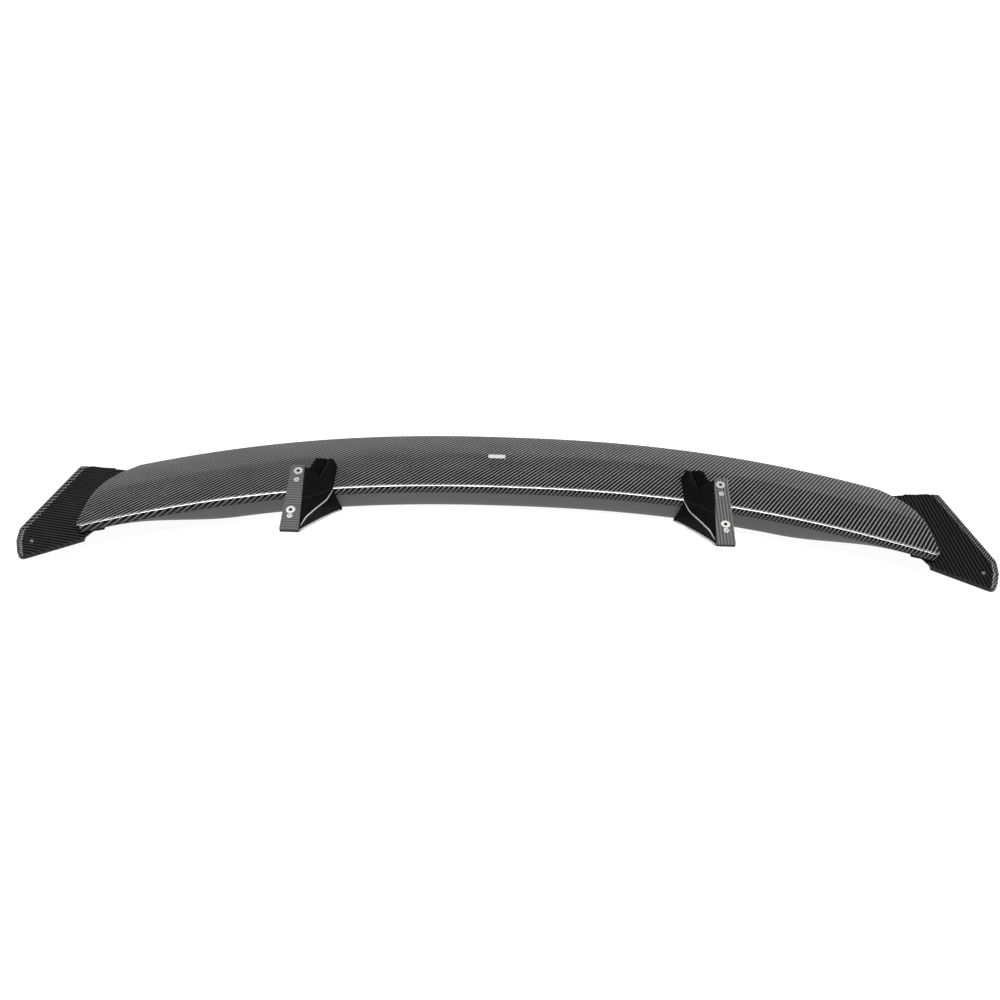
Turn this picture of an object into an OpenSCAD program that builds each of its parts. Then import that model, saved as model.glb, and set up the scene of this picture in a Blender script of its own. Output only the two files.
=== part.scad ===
// Racing rear wing for a coupe boot lid: a hollow carbon blade on two splayed pylons,
// with a raked end plate at each tip.
//
// The wing lies feet up. The origin is the centre of the four boot-lid bolts, on the
// plane that the feet bolt down to. +X runs along the span, +Y from the nose to the
// trailing edge, and +Z out of the feet. The right-hand side is drawn and mirrored.

/* [Blade] */
// Half of the blade's span at its nose
blade_half = 655; // [640:1:670]
// Chord along the underside
chord = 157; // [150:1:165]
// How far the trailing edge turns away from the feet, in degrees
pitch = 16.4; // [15:0.1:18]
// Distance from the foot plane to the nose edge at the centre
blade_drop = 118; // [114:1:122]
// Y of the nose edge at the centre
nose_front = 120; // [117:1:123]
// How far the tips sweep forward of the centre
sweep = 126; // [118:1:132]
// How far the tips bend towards the feet
tip_bend = 20; // [16:0.5:24]
// Depth of the nose over the middle of the span
nose_depth = 44; // [36:1:46]
// Depth of the nose at the tips
tip_depth = 16; // [15:0.5:18]
// Rise of the convex underside above its chord line
underside_rise = 5; // [3:0.5:6]
// Depth of the carbon lip that wraps the nose
lip_depth = 13; // [11:0.5:14]
// Thickness of the moulded skins
skin = 2.5; // [2:0.1:2.8]

/* [Pylons] */
// X of each foot's inner edge at its rear end
foot_inner = 302; // [290:1:312]
// Length of a foot
foot_length = 124; // [116:1:130]
// Width of a foot at its rear end
foot_rear_width = 19; // [18:0.5:22]
// Width of a foot at its front end
foot_front_width = 27; // [24:0.5:30]
// Thickness of a foot plate
foot_thickness = 5; // [4:0.5:6]
// Inward lean of the pylon walls for each millimetre of height
lean = 0.247; // [0.2:0.005:0.28]
// Toe-in of the pylon walls for each millimetre forward
toe = 0.0685; // [0.05:0.0005:0.08]
// Wall thickness of the pylon shells
wall = 2.5; // [2:0.1:3]

/* [Fasteners] */
// Bore of a threaded foot insert, tapped for an M6 bolt
insert_bore = 5; // [4:0.1:6]
// Outer diameter of an insert's body
insert_body = 9; // [8:0.5:10]
// Distance between the two inserts of one foot
insert_pitch = 74; // [70:1:78]
// Half of the distance between the inserts of the two feet
insert_x = 309.5; // [308:0.5:311]

/* [End plates] */
// Pitch of an end plate, in degrees
plate_pitch = 10.5; // [10:0.1:11]
// Upward tilt of an end plate away from the blade, in degrees
plate_tilt = 5.7; // [4:0.1:7]
// Thickness of an end plate's inner panel
panel_thickness = 2.5; // [2:0.1:3]
// Overall depth of an end plate
plate_depth = 9; // [7.5:0.5:10]
// Width of the bevelled rim
rim_width = 8; // [6:0.5:10]
// Height of the rim above the panel
rim_rise = 5; // [2:0.5:6]

/* [Hidden] */
$fn = 32;
SPAN_STEPS = 40;
UNDER_STEPS = 10;
FAR_STEPS = 9;
NOSE_STEPS = 5;
SWEEP_POWER = 2.25;
NOSE_RADIUS = 4;
EDGE_THICKNESS = 2.6;
SKIN_END = 0.9;
JOINT_GAP = 0.1;
TIP_FROM = 617;
REAR_CUT = 48;
REAR_CUT_POWER = 5.5;
FRONT_CORNER = 8;
FRONT_CORNER_PART = 0.06;
DEEPEST = 0.08;
FRONT_POWER = 0.7;
FAR_POWER = 0.85;
TAPER_FROM = 430;
TAPER_TO = 625;
LIP_STEP = 0.8;
CLEAR = 0.15;

foot_rear = 50;
foot_front = foot_rear - foot_length;
foot_widening = (foot_front_width - foot_rear_width) / foot_length;
insert_rows = [-insert_pitch / 2, insert_pitch / 2];
insert_length = 12;
insert_collar = 13;
insert_collar_height = 1.2;
foot_screw_rows = [-48, 20];
foot_screw_shank = 4;
foot_screw_length = 14;
foot_screw_head = 8;

// The pylon's side view as [y, z] places, from the foot down to the blade.
pylon_crease = [[-62, -5], [-34, -20], [10, -53], [60, -92], [100, -114]];
pylon_leading_from = [-74, -5];
pylon_leading_to = [99, -163];
pylon_leading_parts = [0, 0.2, 0.45, 0.75, 1];
pylon_leading_in = [1, 3, 4, 4, 2];
inner_rear_edge = [
    [48, -5], [58, -17], [79, -62.5], [145, -93.5], [151, -98.5], [156, -105], [157.5, -113]
];
outer_rear_edge = [
    [48, -5], [60, -18], [93, -57], [123, -70], [130, -75], [145, -92], [159, -109], [163, -115]
];
inner_arm_end = 157;
outer_arm_end = 163;

saddle_from = 112;
saddle_to = 160;
saddle_height = 3;
saddle_bolt_rows = [124, 148];
saddle_bolt_x = 288.5;
saddle_bolt_shank = 6;
saddle_bolt_head = 10;
saddle_bolt_head_height = 3.2;
saddle_bolt_length = 18;

block_from = 268;
block_to = 306;
block_front = 16;
block_back = 76;
block_height = 15;

plate_origin = [blade_half, nose_front - sweep, tip_bend - blade_drop - 14];
// Corners of an end plate as [x, y, corner radius, rim on the edge that follows].
plate_corners = [
    [-14, 166.5, 1, 0],
    [-14, -8.7, 1, 0],
    [66, -63.8, 10, 1],
    [78.5, -31, 20, 1],
    [82.4, -4.8, 24, 1],
    [37.6, 162, 12, 0]
];
flange_corners = [[-38, 160, 3], [-38, 40, 3]];
plate_bolt_spots = [[-27, 62], [-27, 118]];
plate_bolt_shank = 5;
plate_bolt_head = 9;
plate_bolt_head_height = 2.6;
plate_bolt_length = 9;
tip_screw_spot = [57.5, -27];
tip_screw_shank = 3;
tip_screw_head = 6;

C_CARBON = [0.17, 0.17, 0.18];
C_DARK = [0.06, 0.06, 0.065];
C_RAW = [0.45, 0.45, 0.46];
C_SATIN = [0.33, 0.33, 0.34];
C_METAL = [0.72, 0.73, 0.75];
C_BLOCK = [0.60, 0.61, 0.63];
C_FOAM = [0.74, 0.66, 0.45];
C_GLUE = [0.25, 0.27, 0.30];

// ---- curves of the blade -------------------------------------------------------

function limit(t) = min(1, max(0, t));

function smooth(t) = let (c = limit(t)) c * c * (3 - 2 * c);

function span_ratio(x) = abs(x) / blade_half;

function nose_y(x) = nose_front - sweep * pow(span_ratio(x), SWEEP_POWER);

function nose_z(x) = tip_bend * pow(span_ratio(x), 2) - blade_drop;

// The nose is deep over the middle of the span and shallow at the tips.
function depth(x) =
    nose_depth - (nose_depth - tip_depth) * smooth((abs(x) - TAPER_FROM) / (TAPER_TO - TAPER_FROM));

// A point of the blade: x along the span, u back along the chord, w out of the underside.
function blade_point(x, u, w) = [
    x,
    nose_y(x) + u * cos(pitch) + w * sin(pitch),
    nose_z(x) - u * sin(pitch) + w * cos(pitch)
];

// Height of the underside above the chord line.
function under_w(u) = let (t = limit(u / chord)) 4 * underside_rise * t * (1 - t);

// Depth of the far skin below the chord line, at the chord fraction t of a nose d deep.
function far_w(t, d) =
    t < DEEPEST
        ? -lip_depth - (d - lip_depth) * pow(sin(90 * t / DEEPEST), FRONT_POWER)
        : -EDGE_THICKNESS - (d - EDGE_THICKNESS)
            * pow((1 + cos(180 * (t - DEEPEST) / (1 - DEEPEST))) / 2, FAR_POWER);

// Half span at the chord fraction t: a small front corner and a large rear one.
function half_span(t) =
    blade_half - REAR_CUT * pow(limit(t), REAR_CUT_POWER)
    - FRONT_CORNER * pow(limit(1 - t / FRONT_CORNER_PART), 2);

// Z of the underside at a place in plan.
function under_z(x, y) =
    let (u = (y - nose_y(x)) / cos(pitch))
    nose_z(x) - u * sin(pitch) + under_w(u) / cos(pitch);

// Stations crowd towards the tips, where the depth changes.
function span_place(f) = let (v = 2 * f - 1) 0.35 * sin(90 * v) + 0.65 * v;

// The lower skin's section as [u, w]: the underside, the nose and the lip, then back inside.
function lower_section() = concat(
    [for (i = [0 : UNDER_STEPS])
        let (u = chord - (chord - NOSE_RADIUS) * i / UNDER_STEPS)
        [u, under_w(u)]],
    [for (a = [35, 70])
        [NOSE_RADIUS * (1 - sin(a)), under_w(NOSE_RADIUS) - NOSE_RADIUS * (1 - cos(a))]],
    [[0, -NOSE_RADIUS], [0, -lip_depth]],
    [[skin, -lip_depth], [skin, -skin - NOSE_RADIUS]],
    [for (i = [0 : UNDER_STEPS])
        let (
            from = skin + NOSE_RADIUS,
            u = from + (SKIN_END * chord - from) * i / UNDER_STEPS
        )
        [u, under_w(u) - skin]],
    [[chord, -EDGE_THICKNESS / 2]]
);

// The upper skin's section, from the lip round the far side to the edge, then back inside.
function upper_section(d) = concat(
    [[LIP_STEP, -lip_depth - JOINT_GAP]],
    [for (i = [1 : NOSE_STEPS])
        let (t = DEEPEST * pow(i / NOSE_STEPS, 1.5))
        [t * chord + LIP_STEP * (1 - i / NOSE_STEPS), far_w(t, d)]],
    [for (i = [1 : FAR_STEPS])
        let (t = DEEPEST + (1 - DEEPEST) * i / FAR_STEPS)
        [t * chord, far_w(t, d)]],
    [[chord, -EDGE_THICKNESS / 2 - JOINT_GAP]],
    [for (i = [FAR_STEPS : -1 : 1])
        let (t = DEEPEST + (SKIN_END - DEEPEST) * i / FAR_STEPS)
        [t * chord, far_w(t, d) + skin]],
    [for (i = [NOSE_STEPS : -1 : 1])
        let (t = DEEPEST * pow(i / NOSE_STEPS, 1.5))
        [t * chord + skin * (1 - i / NOSE_STEPS), far_w(t, d) + skin * (0.4 + 0.6 * i / NOSE_STEPS)]],
    [[LIP_STEP + skin, -lip_depth - JOINT_GAP]]
);

// Z of the plane that the end plates' inner panels lie in.
function panel_z(x, y) =
    plate_origin[2] - tan(plate_pitch) * (y - plate_origin[1]) + tan(plate_tilt) * (x - plate_origin[0]);

// ---- general solids ------------------------------------------------------------

// The sum of a list of points, divided by their number.
function middle_of(points) =
    let (ones = [for (p = points) 1]) (ones * points) / len(points);

function reversed(list) = [for (i = [len(list) - 1 : -1 : 0]) list[i]];

// A closed solid through rings of equal point counts. A bent end is closed by a fan of
// triangles about its middle, and a flat one by a single face.
module loft(rings, fan = true) {
    n = len(rings[0]);
    m = len(rings);
    start = n * m;
    end = start + 1;
    start_cap = fan
        ? [for (i = [0 : n - 1]) [start, (i + 1) % n, i]]
        : [[for (i = [n - 1 : -1 : 0]) i]];
    end_cap = fan
        ? [for (i = [0 : n - 1]) [end, (m - 1) * n + i, (m - 1) * n + (i + 1) % n]]
        : [[for (i = [0 : n - 1]) (m - 1) * n + i]];
    polyhedron(
        points = concat(
            [for (ring = rings) for (p = ring) p],
            fan ? [middle_of(rings[0]), middle_of(rings[m - 1])] : []
        ),
        faces = concat(
            start_cap,
            [for (k = [0 : m - 2]) for (i = [0 : n - 1])
                [k * n + i, k * n + (i + 1) % n, (k + 1) * n + (i + 1) % n]],
            [for (k = [0 : m - 2]) for (i = [0 : n - 1])
                [k * n + i, (k + 1) * n + (i + 1) % n, (k + 1) * n + i]],
            end_cap
        ),
        convexity = 8
    );
}

// A moulded shell, worked out as one smooth faceted skin.
module moulded() {
    resize([0, 0, 0]) {
        union() {
            children();
        }
    }
}

function flat(p) = [p[0], p[1]];

// Unit vectors from corner i of a polygon towards its neighbours.
function corner_arms(corners, i) =
    let (
        n = len(corners),
        p = flat(corners[i]),
        a = flat(corners[(i + n - 1) % n]) - p,
        b = flat(corners[(i + 1) % n]) - p
    )
    [a / norm(a), b / norm(b)];

// A polygon with rounded corners; each corner is [x, y, radius].
function round_corners(corners, steps = 6) = [
    for (i = [0 : len(corners) - 1])
    let (
        arms = corner_arms(corners, i),
        half = acos(arms[0] * arms[1]) / 2,
        r = corners[i][2],
        p = flat(corners[i]),
        middle = (arms[0] + arms[1]) / norm(arms[0] + arms[1]),
        centre = p + middle * r / sin(half),
        from = p + arms[0] * r / tan(half) - centre,
        to = p + arms[1] * r / tan(half) - centre
    )
    for (k = [0 : steps])
    let (v = from * (1 - k / steps) + to * k / steps)
    centre + v / norm(v) * r
];

function left_of(v) = [-v[1], v[0]] / norm(v);

// The crossing of the lines p + s a and q + t b.
function crossing(p, a, q, b) =
    let (s = ((q[0] - p[0]) * b[1] - (q[1] - p[1]) * b[0]) / (a[0] * b[1] - a[1] * b[0]))
    p + a * s;

// Moves each edge of an anticlockwise polygon in by its own distance.
function inset_edges(corners, distances) = [
    for (i = [0 : len(corners) - 1])
    let (
        n = len(corners),
        before = (i + n - 1) % n,
        p = flat(corners[i]),
        a = p - flat(corners[before]),
        b = flat(corners[(i + 1) % n]) - p
    )
    crossing(p + left_of(a) * distances[before], a, p + left_of(b) * distances[i], b)
];

module on_side(side) {
    mirror([side == "left" ? 1 : 0, 0, 0]) {
        children();
    }
}

// ---- blade ---------------------------------------------------------------------

module saddle_bolt_holes() {
    for (side = ["left", "right"]) {
        on_side(side) {
            at_saddle_bolts() {
                translate([0, 0, -saddle_bolt_length - 1]) {
                    cylinder(h = saddle_bolt_length + 8, d = saddle_bolt_shank + 2 * CLEAR);
                }
            }
        }
    }
}

module blade_lower_skin() {
    section = lower_section();
    color(C_CARBON) {
        moulded() {
            difference() {
                loft([for (k = [SPAN_STEPS : -1 : 0])
                    let (s = span_place(k / SPAN_STEPS))
                    [for (q = section) blade_point(s * half_span(q[0] / chord), q[0], q[1])]
                ], fan = false);
                saddle_bolt_holes();
            }
        }
    }
}

// The upper skin runs between the flanges of the two end plates.
module blade_upper_skin() {
    color(C_SATIN) {
        loft([for (k = [SPAN_STEPS : -1 : 0])
            let (
                s = span_place(k / SPAN_STEPS),
                reach = TIP_FROM - 1
            )
            [for (q = upper_section(depth(s * reach)))
                blade_point(s * min(reach, half_span(q[0] / chord) - 1), q[0], q[1])]
        ], fan = false);
    }
}

// A shear web between the two skins, behind the hardpoint blocks.
module front_spar() {
    web = 4;
    spar_u = 0.56 * chord;
    reach = TIP_FROM - 6;
    steps = 30;
    color(C_FOAM) {
        loft(reversed([for (k = [0 : steps])
            let (
                x = (2 * k / steps - 1) * reach,
                top = under_w(spar_u + web) - skin - 2 * CLEAR,
                low = far_w(spar_u / chord, depth(x)) + skin + 2
            )
            [
                blade_point(x, spar_u, top),
                blade_point(x, spar_u, low),
                blade_point(x, spar_u + web, low + 1),
                blade_point(x, spar_u + web, top)
            ]
        ]));
    }
}

// The line of structural adhesive that joins the skins ahead of the trailing edge.
module trailing_edge_bond() {
    bond_from = 0.76 * chord;
    bond_to = 0.83 * chord;
    reach = TIP_FROM - 6;
    steps = 30;
    color(C_GLUE) {
        loft(reversed([for (k = [0 : steps])
            let (
                x = (2 * k / steps - 1) * reach,
                d = depth(x)
            )
            [
                blade_point(x, bond_to, under_w(bond_to) - skin - 2 * CLEAR),
                blade_point(x, bond_from, under_w(bond_from) - skin - 2 * CLEAR),
                blade_point(x, bond_from, far_w(bond_from / chord, d) + skin + 1),
                blade_point(x, bond_to, far_w(bond_to / chord, d) + skin + 1)
            ]
        ]));
    }
}

// A small blank plate on the underside, just off centre.
module badge_plate() {
    length = 28;
    width = 11;
    badge_x = -21;
    badge_u = 0.53 * chord;
    color(C_METAL) {
        translate(blade_point(badge_x, badge_u, under_w(badge_u) + CLEAR)) {
            rotate([-pitch, 0, 0]) {
                linear_extrude(0.8) {
                    polygon(round_corners([
                        [-length / 2, -width / 2, 1.5],
                        [length / 2, -width / 2, 1.5],
                        [length / 2, width / 2, 1.5],
                        [-length / 2, width / 2, 1.5]
                    ]));
                }
            }
        }
    }
}

// The closing block of each tip, between the lower skin and the end plate's flange.
module tip_block(side) {
    steps = 12;
    inside = skin + 2 * CLEAR;
    top_from = 0.9;
    color(C_DARK) {
        on_side(side) {
            difference() {
                loft([for (f = [1, 0.75, 0.4, 0])
                    let (
                        top = [for (i = [0 : steps])
                            let (u = chord * top_from + (inside + NOSE_RADIUS - chord * top_from) * i / steps)
                            [u, under_w(u) - inside]],
                        front = [
                            [inside, -inside - NOSE_RADIUS],
                            [inside, -lip_depth - JOINT_GAP],
                            [LIP_STEP, -lip_depth - JOINT_GAP]
                        ],
                        low_u = [for (i = [0 : steps])
                            LIP_STEP + (chord * top_from - LIP_STEP) * i / steps]
                    )
                    concat(
                        [for (q = concat(top, front)) blade_point(tip_x(f, q[0]), q[0], q[1])],
                        [for (u = low_u)
                            let (
                                x = tip_x(f, u),
                                place = blade_point(x, u, -lip_depth)
                            )
                            [x, place[1], panel_z(x, place[1]) + CLEAR]]
                    )
                ]);
                place_plate() {
                    for (spot = plate_bolt_spots) {
                        translate([spot[0], spot[1], -1]) {
                            cylinder(h = plate_bolt_length + 1.5, d = plate_bolt_shank + 2 * CLEAR);
                        }
                    }
                }
            }
        }
    }
}

// X across a tip: 0 at its inner end, 1 just inside the blade's end, u back along the chord.
function tip_x(f, u) = TIP_FROM + (half_span(u / chord) - 2 * CLEAR - TIP_FROM) * f;

// A tapped aluminium block inside the blade, under each pylon.
module hardpoint_block(side) {
    color(C_BLOCK) {
        on_side(side) {
            difference() {
                loft(reversed([for (x = [block_from, (block_from + block_to) / 2, block_to])
                    [for (q = [
                        [block_back, 0],
                        [(block_front + block_back) / 2, 0],
                        [block_front, 0],
                        [block_front, block_height],
                        [block_back, block_height]
                    ]) blade_point(x, q[0], under_w(q[0]) - skin - 2 * CLEAR - q[1])]
                ]));
                saddle_bolt_holes();
            }
        }
    }
}

// ---- pylons --------------------------------------------------------------------

// X of the outside of the inner wall, and of the outer wall, at a [y, z] place.
function inner_x(q) = foot_inner + toe * (q[0] - foot_rear) + lean * q[1];

function outer_x(q) = inner_x(q) + foot_rear_width + foot_widening * (foot_rear - q[0]);

function leading_place(f) = pylon_leading_from * (1 - f) + pylon_leading_to * f;

// Where a pylon wall meets the blade, as [y, z], from the arm's end to the nose.
function wall_seat(arm_end, wall_x) =
    let (
        steps = 6,
        seat_front = 101
    )
    [for (i = [0 : steps])
        let (
            y = arm_end + (seat_front - arm_end) * i / steps,
            guess = under_z(290, y),
            z = under_z(wall_x + lean * (guess + 118), y)
        )
        [y, z + 0.6]];

// A flat wall between two sets of X, over a side view given as [y, z] places.
module side_wall(outline, inboard, side) {
    loft([
        [for (q = outline) [inboard ? inner_x(q) : outer_x(q) - wall, q[0], q[1]]],
        [for (q = outline) [inboard ? inner_x(q) + wall : outer_x(q), q[0], q[1]]]
    ], fan = false);
}

// The sloping facet between a wall's crease and the leading edge.
module front_facet(inboard) {
    last = len(pylon_crease) - 1;
    skew = inboard ? 1 : -1;
    loft([for (k = [0 : last])
        let (
            c = pylon_crease[k],
            l = leading_place(pylon_leading_parts[k]),
            cx = inboard ? inner_x(c) : outer_x(c),
            share = inboard ? pylon_leading_in[k] : pylon_leading_in[k] + wall,
            lx = inner_x(l) + share,
            near = [cx, c[0], c[1]],
            tip = [lx, l[0], l[1]],
            ring = [
                near,
                tip,
                tip + [skew * 0.4, wall, wall],
                near + [skew * wall, 0, 0]
            ]
        )
        inboard ? ring : [for (i = [3 : -1 : 0]) ring[i]]
    ]);
}

module pylon_inner_shell(side) {
    color(C_DARK) {
        moulded() {
            on_side(side) {
                side_wall(
                    concat(
                        inner_rear_edge,
                        wall_seat(inner_arm_end, inner_x([140, -118])),
                        [for (k = [len(pylon_crease) - 1 : -1 : 0]) pylon_crease[k]]
                    ),
                    true
                );
                front_facet(true);
            }
        }
    }
}

module pylon_outer_shell(side) {
    color(C_DARK) {
        moulded() {
            on_side(side) {
                side_wall(
                    concat(
                        outer_rear_edge,
                        wall_seat(outer_arm_end, outer_x([140, -118])),
                        [for (k = [len(pylon_crease) - 1 : -1 : 0]) pylon_crease[k]]
                    ),
                    false
                );
                front_facet(false);
            }
        }
    }
}

// The pad that seats a pylon on the blade, between its two walls.
module pylon_saddle(side) {
    gap = 0.3;
    steps = 6;
    color(C_DARK) {
        on_side(side) {
            difference() {
                loft([for (i = [0 : steps])
                    let (
                        y = saddle_from + (saddle_to - saddle_from) * i / steps,
                        low_z = under_z(290, y),
                        left = inner_x([y, low_z]) + wall + 2 * gap,
                        right = outer_x([y, low_z]) - wall - 2 * gap
                    )
                    [
                        [left, y, under_z(left, y) + gap],
                        [right, y, under_z(right, y) + gap],
                        [right, y, under_z(right, y) + gap + saddle_height],
                        [left, y, under_z(left, y) + gap + saddle_height]
                    ]
                ]);
                saddle_bolt_holes();
            }
        }
    }
}

// Children stand on top of the saddle at each of its bolts, square to the blade.
module at_saddle_bolts() {
    for (y = saddle_bolt_rows) {
        translate([saddle_bolt_x, y, under_z(saddle_bolt_x, y) + saddle_height + 0.7]) {
            rotate([-pitch, 0, 0]) {
                children();
            }
        }
    }
}

module saddle_bolts(side) {
    socket = 4;
    color(C_METAL) {
        on_side(side) {
            at_saddle_bolts() {
                translate([0, 0, -saddle_bolt_length]) {
                    cylinder(h = saddle_bolt_length, d = saddle_bolt_shank);
                }
                difference() {
                    cylinder(h = saddle_bolt_head_height, d = saddle_bolt_head);
                    translate([0, 0, saddle_bolt_head_height - 2]) {
                        cylinder(h = 3, d = socket, $fn = 6);
                    }
                }
            }
        }
    }
}

// ---- feet ----------------------------------------------------------------------

module foot_plate(side) {
    front_inner = foot_inner - toe * foot_length;
    color(C_RAW) {
        on_side(side) {
            difference() {
                translate([0, 0, -foot_thickness]) {
                    linear_extrude(foot_thickness) {
                        polygon(round_corners([
                            [foot_inner, foot_rear, 4],
                            [front_inner, foot_front, 2],
                            [front_inner + foot_front_width, foot_front, 2],
                            [foot_inner + foot_rear_width, foot_rear, 4]
                        ]));
                    }
                }
                for (y = insert_rows) {
                    translate([insert_x, y, -foot_thickness - 1]) {
                        cylinder(h = foot_thickness + 2, d = insert_body);
                    }
                    translate([insert_x, y, -insert_collar_height]) {
                        cylinder(h = insert_collar_height + 1, d = insert_collar);
                    }
                }
                for (y = foot_screw_rows) {
                    translate([insert_x, y, -foot_thickness - 1]) {
                        cylinder(h = foot_thickness + 2, d = foot_screw_shank);
                    }
                    translate([insert_x, y, -foot_screw_shank / 2]) {
                        cylinder(h = foot_screw_shank / 2 + 0.5, d = foot_screw_head);
                    }
                }
            }
        }
    }
}

// Collared inserts, tapped for the bolts that come up through the boot lid.
module foot_inserts(side) {
    color(C_METAL) {
        on_side(side) {
            for (y = insert_rows) {
                translate([insert_x, y, 0]) {
                    difference() {
                        union() {
                            translate([0, 0, -insert_length]) {
                                cylinder(h = insert_length, d = insert_body);
                            }
                            translate([0, 0, -insert_collar_height]) {
                                cylinder(h = insert_collar_height, d = insert_collar);
                            }
                        }
                        translate([0, 0, -insert_length - 1]) {
                            cylinder(h = insert_length + 2, d = insert_bore);
                        }
                    }
                }
            }
        }
    }
}

// Flat-headed screws that hold a foot plate down on the pylon.
module foot_screws(side) {
    slot = 1.2;
    head_height = foot_screw_shank / 2;
    color(C_METAL) {
        on_side(side) {
            for (y = foot_screw_rows) {
                translate([insert_x, y, 0]) {
                    translate([0, 0, -foot_screw_length]) {
                        cylinder(h = foot_screw_length - head_height, d = foot_screw_shank);
                    }
                    difference() {
                        translate([0, 0, -head_height]) {
                            cylinder(h = head_height - 0.2, d = foot_screw_head);
                        }
                        for (turn = [0, 90]) {
                            rotate([0, 0, turn]) {
                                translate([-foot_screw_head / 3, -slot / 2, -1.2]) {
                                    cube([foot_screw_head / 1.5, slot, 2]);
                                }
                            }
                        }
                    }
                }
            }
        }
    }
}

// ---- end plates ----------------------------------------------------------------

// Children are in an end plate's own frame: its panel's visible face is at z = 0.
module place_plate() {
    translate(plate_origin) {
        rotate([-plate_pitch, -plate_tilt, 0]) {
            children();
        }
    }
}

function with_radii(points, corners) =
    [for (i = [0 : len(points) - 1]) [points[i][0], points[i][1], corners[i][2]]];

// The inner panel: a flat sheet inside the rim, with a flange that bolts under the blade.
module end_plate_panel(side) {
    gap = 0.2;
    inset = inset_edges(plate_corners, [for (c = plate_corners) c[3] * (rim_width + gap)]);
    outline = concat(
        flange_corners,
        [for (i = [1 : len(plate_corners) - 1])
            [inset[i][0], inset[i][1], max(2, plate_corners[i][2] - rim_width * plate_corners[i][3])]]
    );
    color(C_DARK) {
        on_side(side) {
            place_plate() {
                difference() {
                    translate([0, 0, -panel_thickness]) {
                        linear_extrude(panel_thickness) {
                            polygon(round_corners(outline));
                        }
                    }
                    for (spot = plate_bolt_spots) {
                        translate([spot[0], spot[1], -panel_thickness - 1]) {
                            cylinder(h = panel_thickness + 2, d = plate_bolt_shank + 2 * CLEAR);
                        }
                    }
                    translate([tip_screw_spot[0], tip_screw_spot[1], -panel_thickness - 1]) {
                        cylinder(h = panel_thickness + 2, d = tip_screw_shank + 2 * CLEAR);
                    }
                }
            }
        }
    }
}

// The outer body: a cored moulding under the panel, with a bevelled rim round the tip.
module end_plate_body(side) {
    seat_gap = 0.1;
    floor_lift = 0.5;
    base = round_corners(with_radii(
        inset_edges(plate_corners, [for (c = plate_corners) c[3]]),
        [for (c = plate_corners) [0, 0, max(1, c[2] - c[3])]]
    ));
    color(C_DARK) {
        on_side(side) {
            place_plate() {
                difference() {
                    moulded() {
                        translate([0, 0, floor_lift - plate_depth]) {
                            linear_extrude(plate_depth - floor_lift - panel_thickness - seat_gap) {
                                polygon(base);
                            }
                        }
                        end_plate_rim();
                    }
                    translate([tip_screw_spot[0], tip_screw_spot[1], 1 - plate_depth]) {
                        cylinder(h = plate_depth, d = tip_screw_shank + 2 * CLEAR);
                    }
                }
            }
        }
    }
}

// The bevelled edge: level with the panel inside, and standing up at the outer edge.
module end_plate_rim() {
    steps = 6;
    bevel_from = 0.6;
    rounded = round_corners(plate_corners, steps);
    inner = round_corners(with_radii(
        inset_edges(plate_corners, [for (c = plate_corners) c[3] * rim_width]),
        [for (c = plate_corners) [0, 0, max(1.8, c[2] - rim_width * c[3])]]
    ), steps);
    first = 2 * (steps + 1) + steps / 2;
    last = 5 * (steps + 1) + steps / 2;
    loft([for (i = [last : -1 : first])
        let (
            o = rounded[i],
            n = inner[i],
            mid = n + (o - n) * bevel_from
        )
        [
            [n[0], n[1], -plate_depth],
            [n[0], n[1], 0],
            [mid[0], mid[1], rim_rise * 0.75],
            [o[0], o[1], rim_rise * 0.6],
            [o[0], o[1], -plate_depth]
        ]
    ]);
}

module end_plate_bolts(side) {
    color(C_METAL) {
        on_side(side) {
            place_plate() {
                for (spot = plate_bolt_spots) {
                    translate([spot[0], spot[1], -panel_thickness - CLEAR]) {
                        cylinder(h = plate_bolt_length + panel_thickness, d = plate_bolt_shank);
                        translate([0, 0, -plate_bolt_head_height]) {
                            cylinder(h = plate_bolt_head_height, d = plate_bolt_head);
                        }
                    }
                }
            }
        }
    }
}

// The small domed screw that closes the end plate at its forward tip.
module end_plate_tip_screw(side) {
    head_height = 1.6;
    color(C_METAL) {
        on_side(side) {
            place_plate() {
                translate([tip_screw_spot[0], tip_screw_spot[1], 0]) {
                    translate([0, 0, -plate_depth + 2]) {
                        cylinder(h = plate_depth - 2 + CLEAR, d = tip_screw_shank);
                    }
                    translate([0, 0, CLEAR]) {
                        cylinder(h = head_height, d1 = tip_screw_head, d2 = tip_screw_head * 0.7);
                    }
                }
            }
        }
    }
}

// ---- nodes ---------------------------------------------------------------------

blade_lower_skin();
blade_upper_skin();
front_spar();
trailing_edge_bond();
badge_plate();
tip_block("left");  // tip_block_left
tip_block("right");  // tip_block_right
hardpoint_block("left");  // hardpoint_block_left
hardpoint_block("right");  // hardpoint_block_right
pylon_inner_shell("left");  // pylon_inner_shell_left
pylon_inner_shell("right");  // pylon_inner_shell_right
pylon_outer_shell("left");  // pylon_outer_shell_left
pylon_outer_shell("right");  // pylon_outer_shell_right
pylon_saddle("left");  // pylon_saddle_left
pylon_saddle("right");  // pylon_saddle_right
saddle_bolts("left");  // saddle_bolts_left
saddle_bolts("right");  // saddle_bolts_right
foot_plate("left");  // foot_plate_left
foot_plate("right");  // foot_plate_right
foot_inserts("left");  // foot_inserts_left
foot_inserts("right");  // foot_inserts_right
foot_screws("left");  // foot_screws_left
foot_screws("right");  // foot_screws_right
end_plate_panel("left");  // end_plate_panel_left
end_plate_panel("right");  // end_plate_panel_right
end_plate_body("left");  // end_plate_body_left
end_plate_body("right");  // end_plate_body_right
end_plate_bolts("left");  // end_plate_bolts_left
end_plate_bolts("right");  // end_plate_bolts_right
end_plate_tip_screw("left");  // end_plate_tip_screw_left
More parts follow.
